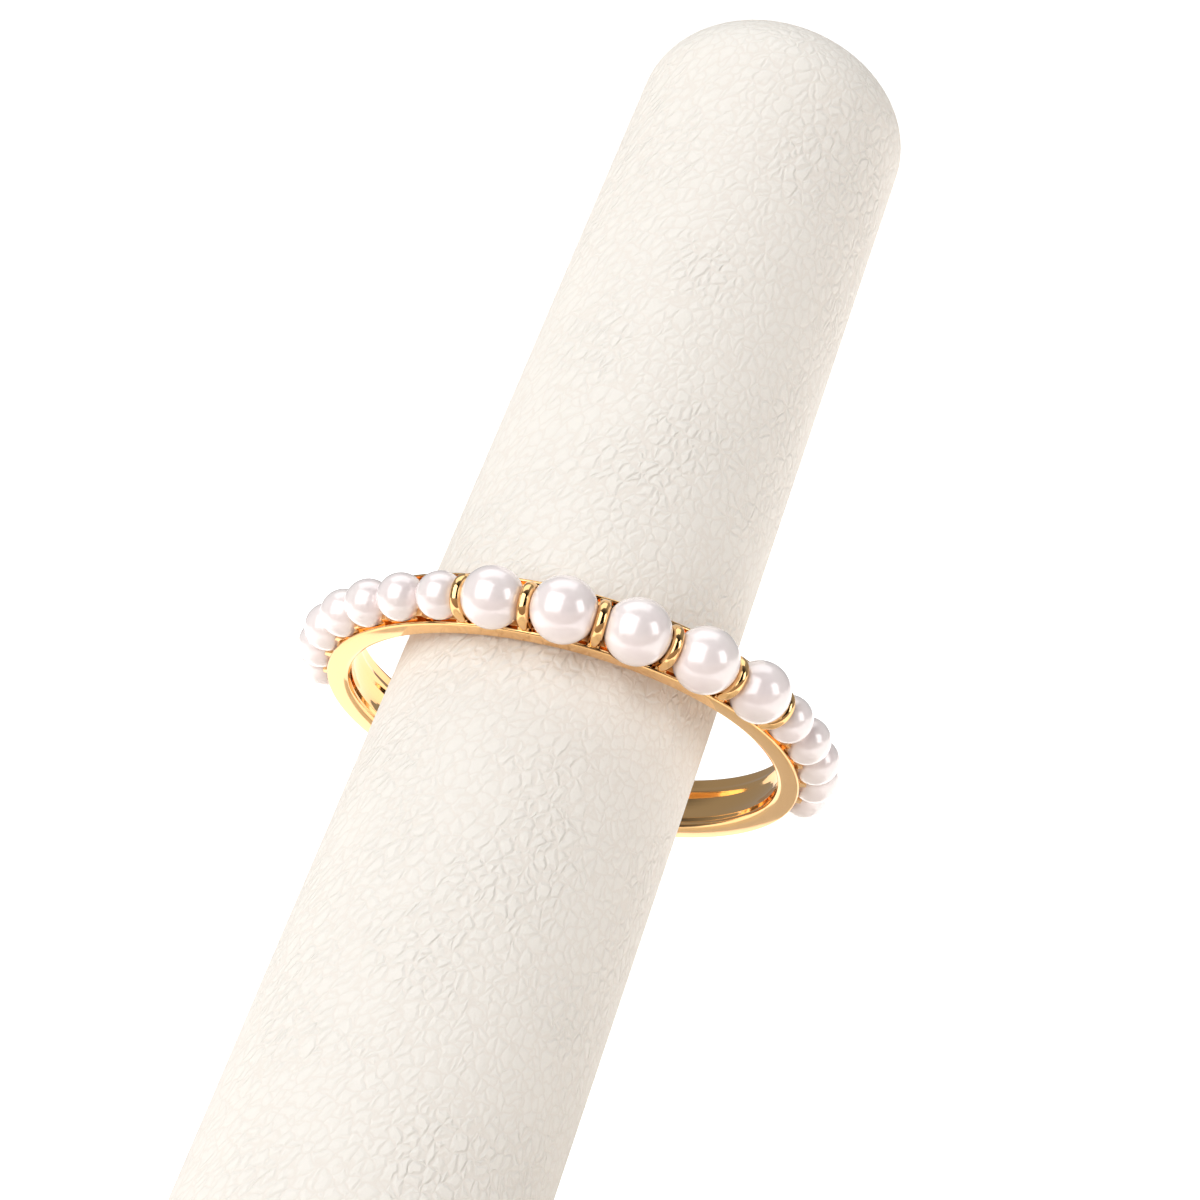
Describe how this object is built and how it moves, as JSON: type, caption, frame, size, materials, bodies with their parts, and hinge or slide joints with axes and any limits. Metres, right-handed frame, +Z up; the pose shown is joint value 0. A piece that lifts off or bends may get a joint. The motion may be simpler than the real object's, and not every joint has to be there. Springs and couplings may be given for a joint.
{
  "type": "stackable ring on a ring stand",
  "caption": "Gold stacking ring with a row of pearls and small arches, hanging on a leather-covered tapered display finger with a round base.",
  "frame": {"origin": "middle of the base's underside", "axes": "+Z up, +Y away from the viewer, the finger leans back and to the right, towards +Y and +X"},
  "size_m": [0.057, 0.057, 0.0559],
  "materials": {
    "gold": "polished yellow gold",
    "pearl": "pearl lustre, white with a faint rose tint",
    "leather": "ivory, fine pebble grain, satin"
  },
  "bodies": {
    "root": {"band": "gold", "pearl_01": "pearl", "pearl_02": "pearl", "pearl_03": "pearl", "pearl_04": "pearl", "pearl_05": "pearl", "pearl_06": "pearl", "pearl_07": "pearl", "pearl_08": "pearl", "pearl_09": "pearl", "pearl_10": "pearl", "pearl_11": "pearl", "pearl_12": "pearl", "pearl_13": "pearl", "pearl_14": "pearl", "pearl_15": "pearl", "pearl_16": "pearl", "pearl_17": "pearl", "display_finger": "leather", "stand_base": "leather"}
  },
  "joints": []
}
